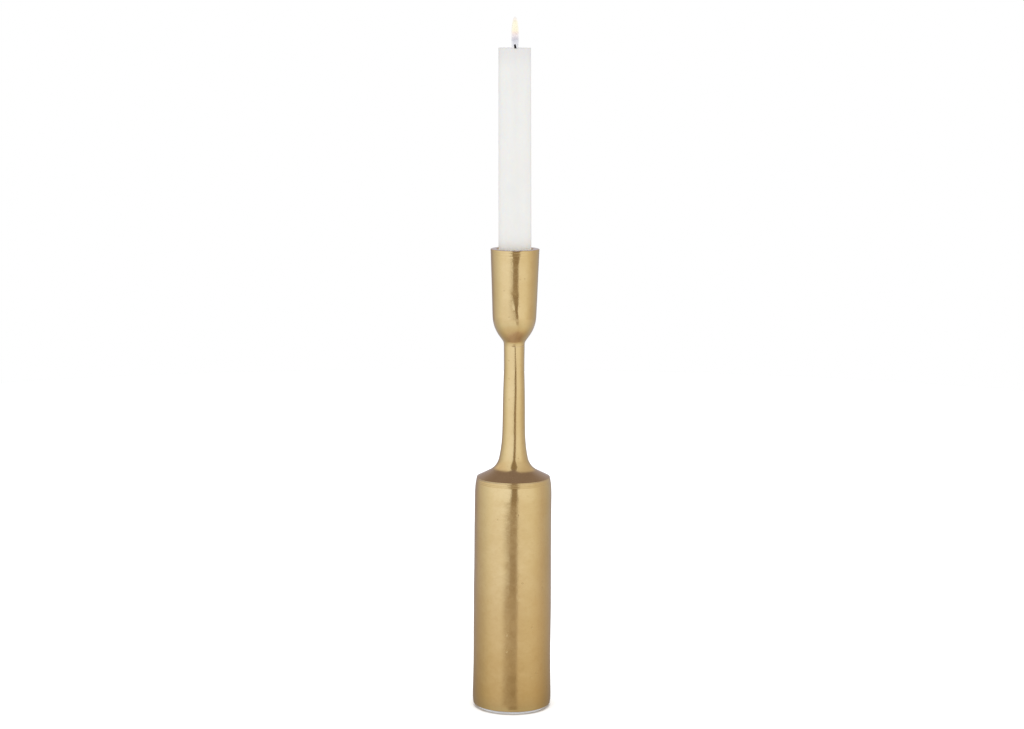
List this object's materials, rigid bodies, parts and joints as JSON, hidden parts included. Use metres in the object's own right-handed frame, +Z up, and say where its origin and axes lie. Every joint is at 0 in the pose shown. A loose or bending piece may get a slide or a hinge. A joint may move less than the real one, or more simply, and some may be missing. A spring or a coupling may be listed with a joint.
{
  "type": "candle holder",
  "caption": "Turned brass candle holder: a hollow pillar foot, a thin flared stem and a deep cup that holds a straight household candle, which lifts out.",
  "frame": {"origin": "centre of the felt pad's underside, where the holder stands", "axes": "+Z up along the holder's turning axis, from the foot to the candle; the wick leans towards -X; -Y faces the viewer"},
  "size_m": [0.0524, 0.0524, 0.4431],
  "materials": {
    "pillar_brass": "satin",
    "stem_brass": "satin",
    "cup_brass": "satin",
    "plate_steel": "satin",
    "rod_steel": "satin",
    "zinc_steel": "satin",
    "spring_steel": "satin",
    "felt": "matte",
    "fibreboard": "matte",
    "wax": "satin",
    "burnt_cotton": "matte"
  },
  "bodies": {
    "holder": {"felt_pad": "felt", "backing_board": "fibreboard", "pillar_body": "pillar_brass", "stem": "stem_brass", "candle_cup": "cup_brass", "base_plate": "plate_steel", "flat_washer": "zinc_steel", "spring_washer": "spring_steel", "hex_nut": "zinc_steel", "tie_rod": "rod_steel"},
    "candle": {"candle": "wax", "wick": "burnt_cotton"}
  },
  "joints": [
    {"name": "candle_lift", "type": "slide", "parent": "holder", "child": "candle", "axis": [0, 0, 1], "range_m": [0, 0.06]}
  ]
}
